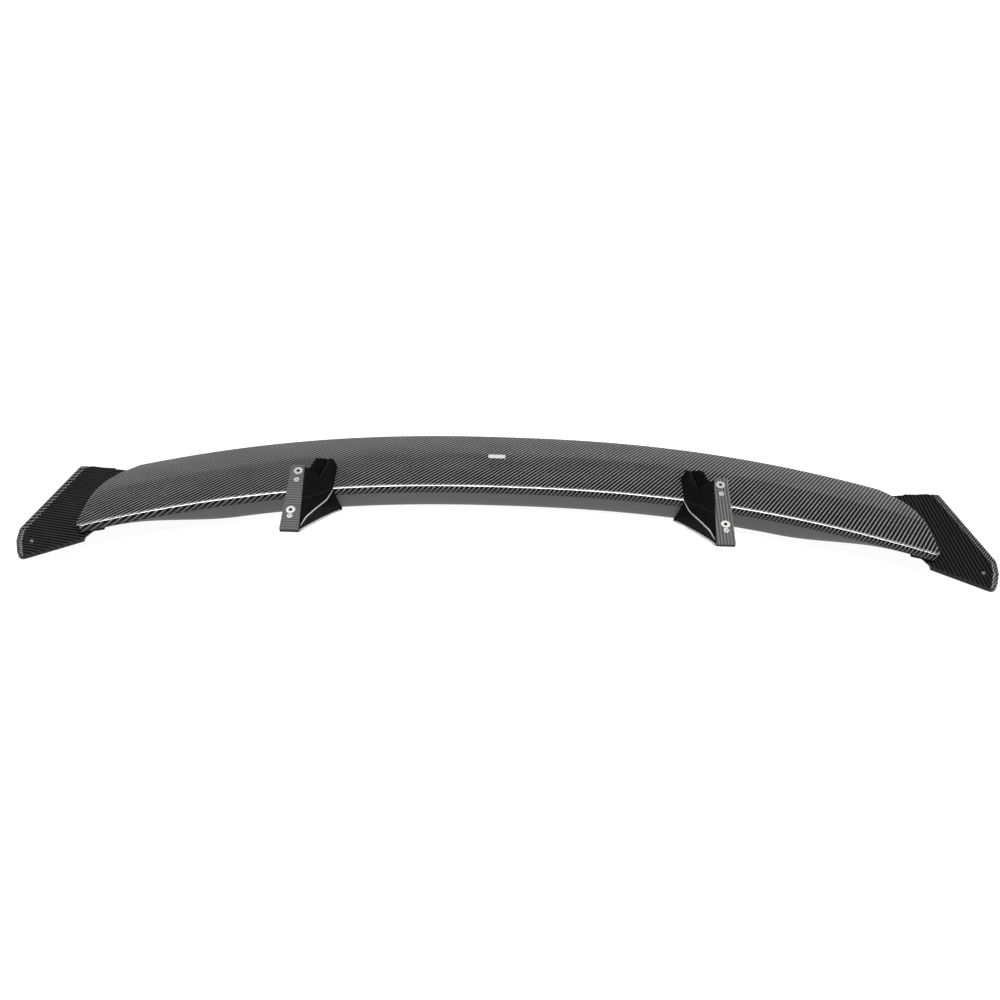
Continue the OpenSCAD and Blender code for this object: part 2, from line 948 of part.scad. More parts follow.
end_plate_tip_screw("right");  // end_plate_tip_screw_right
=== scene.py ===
"""A racing rear wing lying feet up: finished skins, end plates and materials round the CAD frame.

The frame's origin is the centre of the four boot-lid bolts. +X runs along the span, +Y from
the nose to the trailing edge and +Z out of the feet. Lengths are in millimetres until a
mesh is made, and MM turns them into metres.
"""

import math

import bmesh
import bpy
from mathutils import Matrix, Vector


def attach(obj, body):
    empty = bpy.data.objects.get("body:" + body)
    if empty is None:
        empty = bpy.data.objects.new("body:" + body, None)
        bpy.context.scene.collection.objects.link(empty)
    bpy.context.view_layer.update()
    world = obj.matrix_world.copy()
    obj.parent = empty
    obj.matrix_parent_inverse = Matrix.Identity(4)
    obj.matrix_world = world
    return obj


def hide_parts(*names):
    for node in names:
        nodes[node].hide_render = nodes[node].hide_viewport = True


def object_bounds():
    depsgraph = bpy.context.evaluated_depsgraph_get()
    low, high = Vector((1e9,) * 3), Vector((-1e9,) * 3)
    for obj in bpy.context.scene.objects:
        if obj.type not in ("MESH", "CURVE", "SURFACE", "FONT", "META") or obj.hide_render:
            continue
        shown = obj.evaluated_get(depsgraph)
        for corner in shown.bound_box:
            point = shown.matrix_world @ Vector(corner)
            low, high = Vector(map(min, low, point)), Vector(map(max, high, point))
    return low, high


MM = 0.001

# The blade, as in the CAD model.
BLADE_HALF = 655
CHORD = 157
PITCH = math.radians(16.4)
BLADE_DROP = 118
NOSE_FRONT = 120
SWEEP = 126
SWEEP_POWER = 2.25
TIP_BEND = 20
NOSE_DEPTH = 43.8
TIP_DEPTH = 16
UNDERSIDE_RISE = 5
LIP_DEPTH = 13
SKIN = 2.5
NOSE_RADIUS = 8
EDGE_THICKNESS = 2.6
SKIN_END = 0.9
JOINT_GAP = 0.1
TIP_FROM = 617
REAR_CUT = 48
REAR_CUT_POWER = 5.5
FRONT_CORNER = 8
FRONT_CORNER_PART = 0.06
DEEPEST = 0.08
FRONT_POWER = 0.7
FAR_POWER = 0.85
TAPER_FROM = 430
TAPER_TO = 625
LIP_STEP = 0.8

# The end plates, as in the CAD model.
PLATE_PITCH = math.radians(10.5)
PLATE_TILT = math.radians(5.7)
PANEL_THICKNESS = 2.5
PLATE_DEPTH = 9
RIM_WIDTH = 8
RIM_RISE = 5
PLATE_ORIGIN = Vector((BLADE_HALF, NOSE_FRONT - SWEEP, TIP_BEND - BLADE_DROP - 14))
# Corners of a plate as (x, y, corner radius, rim on the edge that follows).
PLATE_CORNERS = [
    (-14, 166.5, 1, 0),
    (-14, -8.7, 1, 0),
    (66, -63.8, 10, 1),
    (78.5, -31, 20, 1),
    (82.4, -4.8, 24, 1),
    (37.6, 162, 12, 0),
]

# The pylons' creases, as in the CAD model, as (y, z) places on the inner wall.
FOOT_INNER = 302
FOOT_REAR = 50
TOE = 0.0685
LEAN = 0.247
PYLON_CREASE = [(-62, -5), (-34, -20), (10, -53), (60, -92), (100, -114)]
PYLON_FRONT_FROM = (-74, -5)
PYLON_FRONT_TO = (88, -153)
PYLON_FRONT_PARTS = [0, 0.2, 0.45, 0.75, 1]
PYLON_FRONT_IN = [1, 3, 4, 4, 2]

# How finely the smooth pieces are drawn.
SPAN_STEPS = 220
UNDER_STEPS = 44
NOSE_STEPS = 12
FAR_STEPS = 30
CORNER_STEPS = 14

# Width of one tow of the cloth, how far the cloth turns to the right, and its middle.
TOW = 2.0
CLOTH_TURN = 13
CLOTH_MIDDLE = 120

SIDES = {"left": -1, "right": 1}

FLOOR_SIDES = 72


# ---- curves of the blade ---------------------------------------------------------


def limit(t):
    return min(1.0, max(0.0, t))


def smooth(t):
    c = limit(t)
    return c * c * (3 - 2 * c)


def nose_y(x):
    return NOSE_FRONT - SWEEP * (abs(x) / BLADE_HALF) ** SWEEP_POWER


def nose_z(x):
    return TIP_BEND * (abs(x) / BLADE_HALF) ** 2 - BLADE_DROP


def depth(x):
    taper = smooth((abs(x) - TAPER_FROM) / (TAPER_TO - TAPER_FROM))
    return NOSE_DEPTH - (NOSE_DEPTH - TIP_DEPTH) * taper


def blade_point(x, u, w):
    """A point u back along the chord and w out of the underside."""
    y = nose_y(x) + u * math.cos(PITCH) + w * math.sin(PITCH)
    z = nose_z(x) - u * math.sin(PITCH) + w * math.cos(PITCH)
    return Vector((x, y, z))


def under_w(u):
    t = limit(u / CHORD)
    return 4 * UNDERSIDE_RISE * t * (1 - t)


def far_w(t, d):
    if t < DEEPEST:
        front = math.sin(math.pi / 2 * t / DEEPEST) ** FRONT_POWER
        return -LIP_DEPTH - (d - LIP_DEPTH) * front
    turn = (1 + math.cos(math.pi * (t - DEEPEST) / (1 - DEEPEST))) / 2
    return -EDGE_THICKNESS - (d - EDGE_THICKNESS) * max(0.0, turn) ** FAR_POWER


def half_span(t):
    rear = REAR_CUT * limit(t) ** REAR_CUT_POWER
    front = FRONT_CORNER * limit(1 - t / FRONT_CORNER_PART) ** 2
    return BLADE_HALF - rear - front


def span_place(f):
    v = 2 * f - 1
    return 0.35 * math.sin(math.pi / 2 * v) + 0.65 * v


# ---- mesh helpers ----------------------------------------------------------------


def make_piece(name, rings, cloth=None, capped=True):
    """A closed solid through rings of equal point counts, with the cloth's own coordinates."""
    mesh = bpy.data.meshes.new(name)
    made = bmesh.new()
    layer = made.loops.layers.uv.new("cloth")
    corners = [[made.verts.new(p * MM) for p in ring] for ring in rings]
    place = {}
    if cloth:
        for ring, row in zip(corners, cloth):
            for corner, where in zip(ring, row):
                place[corner] = where
    count = len(rings[0])
    for near, far in zip(corners, corners[1:]):
        for i in range(count):
            k = (i + 1) % count
            made.faces.new((near[i], near[k], far[k], far[i]))
    if capped:
        made.faces.new(list(reversed(corners[0])))
        made.faces.new(corners[-1])
    bmesh.ops.recalc_face_normals(made, faces=made.faces)
    for face in made.faces:
        for loop in face.loops:
            loop[layer].uv = place.get(loop.vert, (loop.vert.co.x / MM, loop.vert.co.y / MM))
    made.to_mesh(mesh)
    made.free()
    piece = bpy.data.objects.new(name, mesh)
    bpy.context.scene.collection.objects.link(piece)
    return piece


def shade_smooth(piece, angle=32):
    """Smooth shading across shallow edges only."""
    mesh = piece.data
    mesh.polygons.foreach_set("use_smooth", [True] * len(mesh.polygons))
    mesh.set_sharp_from_angle(angle=math.radians(angle))


def soften_edges(piece, width, segments=2, angle=28):
    """A small rounded edge on every hard corner."""
    bevel = piece.modifiers.new("soft_edges", "BEVEL")
    bevel.width = width * MM
    bevel.segments = segments
    bevel.limit_method = "ANGLE"
    bevel.angle_limit = math.radians(angle)
    bevel.harden_normals = False
    bevel.use_clamp_overlap = True


def finish_piece(piece, material):
    piece.data.materials.clear()
    piece.data.materials.append(material)
    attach(piece, "root")


# ---- material helpers ------------------------------------------------------------


class Graph:
    """A material's nodes, with a short call for each kind that this scene uses."""

    def __init__(self, name):
        self.material = bpy.data.materials.new(name)
        self.material.use_nodes = True
        self.tree = self.material.node_tree
        self.tree.nodes.clear()

    def add(self, kind, feeds=(), **settings):
        node = self.tree.nodes.new(kind)
        for key, value in settings.items():
            setattr(node, key, value)
        for socket, value in feeds:
            self.feed(node, socket, value)
        return node

    def feed(self, node, socket, value):
        if isinstance(value, bpy.types.NodeSocket):
            self.tree.links.new(value, node.inputs[socket])
        else:
            node.inputs[socket].default_value = value

    def math(self, operation, *values):
        feeds = [(i, value) for i, value in enumerate(values)]
        return self.add("ShaderNodeMath", feeds, operation=operation).outputs[0]

    def mix(self, share, low, high):
        """Colour between low and high."""
        node = self.add("ShaderNodeMix", data_type="RGBA")
        self.feed(node, 0, share)
        self.feed(node, 6, low)
        self.feed(node, 7, high)
        return node.outputs[2]

    def between(self, share, low, high):
        """Number between low and high."""
        node = self.add("ShaderNodeMix", data_type="FLOAT")
        self.feed(node, 0, share)
        self.feed(node, 2, low)
        self.feed(node, 3, high)
        return node.outputs[0]

    def noise(self, where, scale, detail=2.0):
        feeds = [("Vector", where), ("Scale", scale), ("Detail", detail)]
        return self.add("ShaderNodeTexNoise", feeds).outputs[0]

    def stretched(self, where, scale):
        feeds = [("Vector", where), ("Scale", scale)]
        return self.add("ShaderNodeMapping", feeds).outputs[0]

    def bump(self, height, distance, strength=1.0):
        feeds = [("Height", height), ("Distance", distance * MM), ("Strength", strength)]
        return self.add("ShaderNodeBump", feeds).outputs[0]

    def shader(self, feeds):
        principled = self.add("ShaderNodeBsdfPrincipled", feeds)
        output = self.add("ShaderNodeOutputMaterial")
        self.tree.links.new(principled.outputs[0], output.inputs[0])
        return self.material

    def object_place(self):
        """Object coordinates in millimetres."""
        place = self.add("ShaderNodeTexCoord").outputs["Object"]
        feeds = [(0, place), ("Scale", 1 / MM)]
        return self.add("ShaderNodeVectorMath", feeds, operation="SCALE").outputs[0]

    def along(self, place, direction):
        """Distance of a place along a direction."""
        feeds = [(0, place), (1, Vector(direction).normalized())]
        return self.add("ShaderNodeVectorMath", feeds, operation="DOT_PRODUCT").outputs["Value"]

    def cloth_place(self):
        """The straight-laid cloth coordinates of a piece, in millimetres, as (u, v)."""
        uv = self.add("ShaderNodeUVMap", uv_map="cloth").outputs[0]
        parts = self.add("ShaderNodeSeparateXYZ", [(0, uv)])
        return parts.outputs[0], parts.outputs[1]


def twill(graph, u, v, tow):
    """A 2x2 twill: which set of tows is on top, its height, fibre streaks and the painted highlight stripes
    that run along the diagonal.
    """
    across = graph.math("DIVIDE", u, tow)
    back = graph.math("DIVIDE", v, tow)
    step = graph.math("SUBTRACT", graph.math("FLOOR", across), graph.math("FLOOR", back))
    over = graph.math("LESS_THAN", graph.math("FLOORED_MODULO", step, 4.0), 2.0)
    crown_across = graph.math("SINE", graph.math("MULTIPLY", graph.math("FRACT", across), math.pi))
    crown_back = graph.math("SINE", graph.math("MULTIPLY", graph.math("FRACT", back), math.pi))
    height = graph.between(over, crown_across, crown_back)
    join = graph.add("ShaderNodeCombineXYZ", [(0, u), (1, v)]).outputs[0]
    streak_u = graph.noise(graph.stretched(join, (0.12, 4.0, 1.0)), 1.0)
    streak_v = graph.noise(graph.stretched(join, (4.0, 0.12, 1.0)), 1.0)
    streak = graph.between(over, streak_v, streak_u)
    # Painted highlight: bright diagonal stripes across the weave, darker between them, stand in for the
    # sheen of light on the tows.
    phase = graph.math("SUBTRACT", graph.math("SUBTRACT", across, back), 2.5)
    wave = graph.math("COSINE", graph.math("MULTIPLY", phase, math.pi / 2))
    highlight_stripes = graph.math("POWER", graph.math("MAXIMUM", wave, 0.0), 2.0)
    return over, height, streak, highlight_stripes


def carbon(name, u_v, light, dark, roughness, gloss, tow=TOW, patch=0.3, shine=0.05):
    """Clear-coated carbon cloth: two tones of tow, fibre streaks, a slow change of tone and diagonal stripes
    of painted highlight and shade across the weave.
    """
    graph = Graph(name)
    u, v = u_v(graph)
    over, height, streak, highlight_stripes = twill(graph, u, v, tow)
    tone = graph.mix(over, (light, light, light, 1), (dark, dark, dark, 1))
    join = graph.add("ShaderNodeCombineXYZ", [(0, u), (1, v)]).outputs[0]
    slow = graph.noise(graph.stretched(join, (0.012, 0.03, 1.0)), 1.0, 1.0)
    shade = graph.math("ADD", graph.math("MULTIPLY", streak, 0.7), 0.65)
    shade = graph.math("MULTIPLY", shade, graph.between(slow, 1 - patch, 1 + patch))
    # The diagonal stripes scale the tone from 0.1 to 2.1 times: painted highlight and painted shade.
    shade = graph.math("MULTIPLY", shade, graph.between(highlight_stripes, 0.1, 2.1))
    lit = graph.add("ShaderNodeVectorMath", [(0, tone), ("Scale", shade)], operation="SCALE")
    rough = graph.between(streak, roughness - 0.06, roughness + 0.06)
    weave = graph.bump(height, 0.12, 0.5)
    flow = graph.noise(graph.stretched(join, (0.05, 0.05, 1.0)), 1.0)
    coat = graph.bump(flow, 0.35, 0.12)
    return graph.shader([
        ("Base Color", lit.outputs[0]),
        ("Roughness", rough),
        ("Specular IOR Level", shine),
        ("Normal", weave),
        ("Coat Weight", gloss),
        ("Coat Roughness", 0.07),
        ("Coat IOR", 1.5),
        ("Coat Normal", coat),
    ])


def cloth_uv(graph):
    return graph.cloth_place()


def plane_uv(first, second, turn=0.0):
    """Cloth laid on a flat wall: coordinates along two directions, turned in the plane."""
    a = Vector(first).normalized()
    b = Vector(second).normalized()
    angle = math.radians(turn)
    across = a * math.cos(angle) + b * math.sin(angle)
    back = b * math.cos(angle) - a * math.sin(angle)

    def coordinates(graph):
        place = graph.object_place()
        return graph.along(place, across), graph.along(place, back)

    return coordinates


def satin_paint(name, tone):
    """Smooth sprayed skin with a fine grain and a few long rub marks."""
    graph = Graph(name)
    place = graph.object_place()
    fine = graph.noise(graph.stretched(place, (1.6, 1.6, 1.6)), 1.0, 3.0)
    slow = graph.noise(graph.stretched(place, (0.01, 0.02, 0.02)), 1.0)
    rub = graph.noise(graph.stretched(place, (0.004, 0.9, 0.9)), 1.0, 3.0)
    marks = graph.math("GREATER_THAN", rub, 0.71)
    low = (tone * 0.88, tone * 0.88, tone * 0.9, 1)
    high = (tone * 1.1, tone * 1.1, tone * 1.12, 1)
    colour = graph.mix(slow, low, high)
    colour = graph.mix(graph.math("MULTIPLY", marks, 0.25), colour, (0.16, 0.16, 0.16, 1))
    return graph.shader([
        ("Base Color", colour),
        ("Roughness", graph.between(fine, 0.38, 0.56)),
        ("Normal", graph.bump(fine, 0.05, 0.4)),
        ("Coat Weight", 0.25),
        ("Coat Roughness", 0.25),
    ])


def brushed_metal(name, tone, roughness, scale=6.0):
    """Plated steel or machined aluminium, with turning marks and dull patches."""
    graph = Graph(name)
    place = graph.object_place()
    marks = graph.noise(graph.stretched(place, (scale, scale * 0.3, scale * 2)), 1.0, 4.0)
    patch = graph.noise(graph.stretched(place, (0.4, 0.4, 0.4)), 1.0)
    low = (tone * 0.62, tone * 0.62, tone * 0.6, 1)
    high = (tone, tone, tone, 1)
    return graph.shader([
        ("Base Color", graph.mix(patch, low, high)),
        ("Metallic", 1.0),
        ("Roughness", graph.between(marks, roughness - 0.08, roughness + 0.14)),
        ("Normal", graph.bump(marks, 0.05, 0.5)),
    ])


def raw_laminate(name, turn):
    """Bare, sanded carbon laminate: a grey twill with coarse stripes and no clear coat."""
    graph = Graph(name)
    u, v = plane_uv((1, 0, 0), (0, 1, 0), turn)(graph)
    over, height, streak, highlight_stripes = twill(graph, u, v, TOW * 0.8)
    place = graph.object_place()
    dust = graph.noise(graph.stretched(place, (0.25, 0.25, 0.25)), 1.0, 3.0)
    tone = graph.mix(over, (0.04, 0.04, 0.04, 1), (0.003, 0.003, 0.003, 1))
    tone = graph.mix(graph.math("MULTIPLY", dust, 0.25), tone, (0.02, 0.02, 0.02, 1))
    return graph.shader([
        ("Base Color", tone),
        ("Roughness", graph.between(streak, 0.42, 0.7)),
        ("Normal", graph.bump(height, 0.15, 0.7)),
        ("Specular IOR Level", 0.2),
        ("Coat Weight", 0.05),
        ("Coat Roughness", 0.3),
    ])


def painted_highlight_metal(name):
    """Bright metal for the beads that are painted highlight lines along moulded edges, with a slight ripple.
    """
    graph = Graph(name)
    place = graph.object_place()
    ripple = graph.noise(graph.stretched(place, (0.35, 0.35, 0.35)), 1.0)
    dull = graph.mix(ripple, (0.42, 0.42, 0.42, 1), (0.75, 0.75, 0.75, 1))
    return graph.shader([
        ("Base Color", dull),
        ("Metallic", 1.0),
        ("Roughness", graph.between(ripple, 0.24, 0.36)),
        ("Normal", graph.bump(ripple, 0.1, 0.5)),
    ])


def core_material(name, colour, grain):
    """Cut foam board or set adhesive."""
    graph = Graph(name)
    place = graph.object_place()
    cells = graph.noise(graph.stretched(place, (grain, grain, grain)), 1.0, 5.0)
    low = tuple(part * 0.75 for part in colour) + (1,)
    high = tuple(colour) + (1,)
    return graph.shader([
        ("Base Color", graph.mix(cells, low, high)),
        ("Roughness", graph.between(cells, 0.7, 0.95)),
        ("Normal", graph.bump(cells, 0.4, 0.8)),
    ])


# ---- blade -----------------------------------------------------------------------


def cloth_turn(x):
    """How far the cloth is turned in the mould, in radians: straight on the left, turned on the right."""
    return math.radians(CLOTH_TURN) * limit((x + 150) / 750)


def cloth_lay():
    """Running sums of the turned cloth's steps along the span, for every millimetre."""
    across = 0.0
    back = 0.0
    lay = []
    for x in range(-BLADE_HALF - 5, BLADE_HALF + 6):
        lay.append((across, back))
        across += math.cos(cloth_turn(x))
        back -= math.sin(cloth_turn(x))
    return lay


def cloth_at(lay, x, v):
    """Cloth coordinates at x along the span and v along the straight-laid chord."""
    f = x + BLADE_HALF + 5
    i = min(len(lay) - 2, int(f))
    part = f - i
    across = lay[i][0] * (1 - part) + lay[i + 1][0] * part
    back = lay[i][1] * (1 - part) + lay[i + 1][1] * part
    turn = cloth_turn(x)
    off = v - CLOTH_MIDDLE
    return across + off * math.sin(turn), back + off * math.cos(turn)


def lower_section():
    """Places of the lower skin as (u, w, cloth v, how far the end rounds it down)."""
    places = []
    for i in range(UNDER_STEPS + 1):
        u = CHORD - (CHORD - NOSE_RADIUS) * i / UNDER_STEPS
        places.append((u, under_w(u), u, 1))
    top = under_w(NOSE_RADIUS)
    for i in range(1, NOSE_STEPS):
        a = math.pi / 2 * i / NOSE_STEPS
        u = NOSE_RADIUS * (1 - math.sin(a))
        drop = top + NOSE_RADIUS
        w = top - drop * (1 - math.cos(a))
        places.append((u, w, NOSE_RADIUS - a * (NOSE_RADIUS + drop) / 2, 1))
    end_v = NOSE_RADIUS - math.pi / 2 * (NOSE_RADIUS + top + NOSE_RADIUS) / 2
    face = LIP_DEPTH - NOSE_RADIUS
    for i in range(5):
        w = -NOSE_RADIUS - (face - 0.6) * i / 4
        places.append((0, w, end_v + w + NOSE_RADIUS, 0))
    places.append((0.2, 0.2 - LIP_DEPTH, end_v - face + 0.2, 0))
    places.append((0.6, -LIP_DEPTH, end_v - face, 0))
    places.append((SKIN, -LIP_DEPTH, end_v - face - SKIN, 0))
    places.append((SKIN, -SKIN - NOSE_RADIUS, end_v - face - SKIN, 0))
    start = SKIN + NOSE_RADIUS
    for i in range(UNDER_STEPS // 2 + 1):
        u = start + (SKIN_END * CHORD - start) * 2 * i / UNDER_STEPS
        places.append((u, under_w(u) - SKIN, u, 0))
    places.append((CHORD, -EDGE_THICKNESS / 2, CHORD, 0))
    return places


def blade_lower_shell():
    section = lower_section()
    lay = cloth_lay()
    round_over = 1.3
    ends = [(0, round_over), (0.3 * round_over, 0.3 * round_over)]
    stations = [(span_place(k / SPAN_STEPS), 0, 0) for k in range(SPAN_STEPS + 1)]
    rings = []
    cloth = []
    for k, (s, _, _) in enumerate(stations):
        edge = ends if k in (0, SPAN_STEPS) else [(None, 0)]
        rows = []
        for back, down in edge:
            rows.append((back, down))
        if k == 0:
            rows = rows + [(round_over, 0)]
        elif k == SPAN_STEPS:
            rows = [(round_over, 0)] + list(reversed(rows))
        for back, down in rows:
            ring = []
            row = []
            for u, w, v, rounds in section:
                x = s * half_span(u / CHORD)
                if back is not None:
                    x -= math.copysign(back, s)
                place = blade_point(x, u, w - down * rounds * 0.8)
                ring.append(place)
                straight = nose_y(x) * math.cos(PITCH) - nose_z(x) * math.sin(PITCH)
                row.append(cloth_at(lay, x, straight + v))
            rings.append(ring)
            cloth.append(row)
    return make_piece("blade_lower_shell", rings, cloth)


def upper_section(d):
    places = [(LIP_STEP, -LIP_DEPTH - JOINT_GAP)]
    fine = NOSE_STEPS
    for i in range(1, fine + 1):
        t = DEEPEST * (i / fine) ** 1.5
        places.append((t * CHORD + LIP_STEP * (1 - i / fine), far_w(t, d)))
    for i in range(1, FAR_STEPS + 1):
        t = DEEPEST + (1 - DEEPEST) * i / FAR_STEPS
        places.append((t * CHORD, far_w(t, d)))
    places.append((CHORD, -EDGE_THICKNESS / 2 - JOINT_GAP))
    for i in range(FAR_STEPS, 0, -1):
        t = DEEPEST + (SKIN_END - DEEPEST) * i / FAR_STEPS
        places.append((t * CHORD, far_w(t, d) + SKIN))
    for i in range(fine, 0, -1):
        t = DEEPEST * (i / fine) ** 1.5
        rise = SKIN * (0.4 + 0.6 * i / fine)
        places.append((t * CHORD + SKIN * (1 - i / fine), far_w(t, d) + rise))
    places.append((LIP_STEP + SKIN, -LIP_DEPTH - JOINT_GAP))
    return places


def blade_upper_shell():
    rings = []
    for k in range(SPAN_STEPS + 1):
        s = span_place(k / SPAN_STEPS)
        reach = TIP_FROM - 1
        ring = []
        for u, w in upper_section(depth(s * reach)):
            ring.append(blade_point(s * min(reach, half_span(u / CHORD) - 1), u, w))
        rings.append(ring)
    return make_piece("blade_upper_shell", rings)


# ---- end plates ------------------------------------------------------------------


def plate_matrix(side):
    """From an end plate's own frame to the wing's: its panel's visible face is at z = 0."""
    turn = Matrix.Rotation(-PLATE_TILT, 4, "Y") @ Matrix.Rotation(-PLATE_PITCH, 4, "X")
    flip = Matrix.Scale(SIDES[side], 4, Vector((1, 0, 0)))
    return flip @ Matrix.Translation(PLATE_ORIGIN) @ turn


def inset_edges(corners, distances):
    """Moves each edge of an anticlockwise polygon in by its own distance."""
    count = len(corners)
    points = [Vector(c[:2]) for c in corners]
    moved = []
    for i in range(count):
        a = (points[i] - points[i - 1]).normalized()
        b = (points[(i + 1) % count] - points[i]).normalized()
        p = points[i] + Vector((-a.y, a.x)) * distances[i - 1]
        q = points[i] + Vector((-b.y, b.x)) * distances[i]
        cross = a.x * b.y - a.y * b.x
        s = ((q.x - p.x) * b.y - (q.y - p.y) * b.x) / cross
        moved.append(p + a * s)
    return moved


def round_corners(points, radii, steps=CORNER_STEPS):
    outline = []
    count = len(points)
    for i, p in enumerate(points):
        a = (points[i - 1] - p).normalized()
        b = (points[(i + 1) % count] - p).normalized()
        half = math.acos(max(-1.0, min(1.0, a.dot(b)))) / 2
        r = radii[i]
        centre = p + (a + b).normalized() * r / math.sin(half)
        start = p + a * r / math.tan(half) - centre
        end = p + b * r / math.tan(half) - centre
        for k in range(steps + 1):
            v = start * (1 - k / steps) + end * k / steps
            outline.append(centre + v.normalized() * r)
    return outline


def rim_profile():
    """The rim's section as (share from the inner to the outer outline, height)."""
    low = -PLATE_DEPTH
    crest = RIM_RISE * 0.75
    edge = RIM_RISE * 0.6
    return [
        (0.0, low), (0.0, -0.05), (0.04, 0.0), (0.15, crest * 0.22), (0.45, crest * 0.85),
        (0.55, crest * 0.97), (0.62, crest), (0.72, crest * 0.99), (0.9, edge * 1.02),
        (0.96, edge * 0.93), (1.0, edge * 0.72), (1.0, low + 1.2), (0.95, low + 0.3), (0.86, low),
    ]


def rim_outlines():
    """The rim's inner and outer outlines, as matching lists of points."""
    points = [Vector(c[:2]) for c in PLATE_CORNERS]
    outer = round_corners(points, [c[2] for c in PLATE_CORNERS])
    inner = round_corners(
        inset_edges(PLATE_CORNERS, [c[3] * RIM_WIDTH for c in PLATE_CORNERS]),
        [max(1.8, c[2] - RIM_WIDTH * c[3]) for c in PLATE_CORNERS],
    )
    return inner, outer


def end_plate_rim(side):
    inner, outer = rim_outlines()
    first = 2 * (CORNER_STEPS + 1) + CORNER_STEPS // 2
    last = 5 * (CORNER_STEPS + 1) + CORNER_STEPS // 2
    place = plate_matrix(side)
    rings = []
    for i in range(first, last + 1):
        ring = []
        fade = smooth((last - i) / (CORNER_STEPS / 2)) * smooth((i - first) / (CORNER_STEPS / 3))
        for share, height in rim_profile():
            at = inner[i].lerp(outer[i], share)
            lifted = height * (0.1 + 0.9 * fade) if height > 0 else height
            ring.append(place @ Vector((at.x, at.y, lifted)))
        rings.append(ring)
    return make_piece("end_plate_rim_" + side, rings)


def end_plate_core(side):
    """The moulded body under the panel, with its outer edge drawn in under the rim."""
    base = round_corners(
        inset_edges(PLATE_CORNERS, [c[3] * 1.0 for c in PLATE_CORNERS]),
        [max(1.0, c[2] - c[3]) for c in PLATE_CORNERS],
    )
    middle = sum(base, Vector((0, 0))) / len(base)
    top = -PANEL_THICKNESS - 0.1
    low = 0.5 - PLATE_DEPTH
    place = plate_matrix(side)
    rings = []
    for height, drawn_in in ((top, 0.0), (low + 1.0, 0.0), (low + 0.3, 0.004), (low, 0.012)):
        ring = []
        for p in base:
            at = p.lerp(middle, drawn_in)
            ring.append(place @ Vector((at.x, at.y, height)))
        rings.append(ring)
    return make_piece("end_plate_core_" + side, rings)


# ---- painted highlight beads along creases and edges -----------------------------


def pylon_inner_x(y, z):
    """X of a pylon's inner wall at a side-view place."""
    return FOOT_INNER + TOE * (y - FOOT_REAR) + LEAN * z


def crease_line(side):
    """A bright metal bead along the crease where a pylon's inner wall turns into its front facet: a painted
    highlight for the light the crease catches.
    """
    points = []
    for y, z in PYLON_CREASE:
        points.append(Vector((SIDES[side] * (pylon_inner_x(y, z) - 0.2), y, z)))
    return bead("pylon_crease_" + side, points, 1.1, 9)


def front_edge_line(side):
    """A bright metal bead along the front edge of a pylon, from the foot to the blade: a painted highlight
    line on that edge.
    """
    points = []
    for part, shift in zip(PYLON_FRONT_PARTS, PYLON_FRONT_IN):
        y = PYLON_FRONT_FROM[0] * (1 - part) + PYLON_FRONT_TO[0] * part + 2
        z = PYLON_FRONT_FROM[1] * (1 - part) + PYLON_FRONT_TO[1] * part + 1
        points.append(Vector((SIDES[side] * (pylon_inner_x(y, z) + shift), y, z)))
    return bead("pylon_front_line_" + side, points, 1.6, 9)


def nose_line():
    """A bright metal bead on the rounded nose of the blade: a painted highlight line where the nose catches
    the light.
    """
    u = NOSE_RADIUS * (1 - math.sin(math.pi / 4)) + 0.3
    w = under_w(NOSE_RADIUS) - NOSE_RADIUS * (1 - math.cos(math.pi / 4)) - 0.3
    reach = half_span(u / CHORD) - 3
    points = [blade_point(reach * k / 60, u, w) for k in range(-60, 61)]
    return bead("nose_line", points, 0.9, 2)


def rim_line(side):
    """A bright metal bead on the crest of an end plate's rim, round the forward tip: a painted highlight
    line.
    """
    inner, outer = rim_outlines()
    place = plate_matrix(side)
    first = 2 * (CORNER_STEPS + 1) + CORNER_STEPS
    last = 5 * (CORNER_STEPS + 1)
    points = []
    for i in range(first, last + 1):
        at = inner[i].lerp(outer[i], 0.2)
        points.append(place @ Vector((at.x, at.y, RIM_RISE * 0.25)))
    return bead("rim_line_" + side, points, 0.5, 1)


def bead(name, corners, radius, steps):
    """A thin round bead through corners, thinner at both ends; steps smooths each bend."""
    points = [corners[0]]
    for k in range(1, len(corners)):
        for i in range(1, steps + 1):
            points.append(corners[k - 1].lerp(corners[k], i / steps))
    for _ in range(steps // 2):
        inside = [(a + b * 2 + c) / 4 for a, b, c in zip(points, points[1:], points[2:])]
        points = [points[0]] + inside + [points[-1]]
    rings = []
    count = len(points)
    for k, point in enumerate(points):
        ahead = points[min(count - 1, k + 1)]
        behind = points[max(0, k - 1)]
        along = (ahead - behind).normalized()
        across = along.cross(Vector((0, 0, 1))).normalized()
        up = across.cross(along)
        taper = min(1.0, 0.35 + 4.0 * min(k, count - 1 - k) / count)
        ring = []
        for j in range(10):
            a = 2 * math.pi * j / 10
            ring.append(point + (across * math.cos(a) + up * math.sin(a)) * radius * taper)
        rings.append(ring)
    return make_piece(name, rings)


# ---- stage -----------------------------------------------------------------------


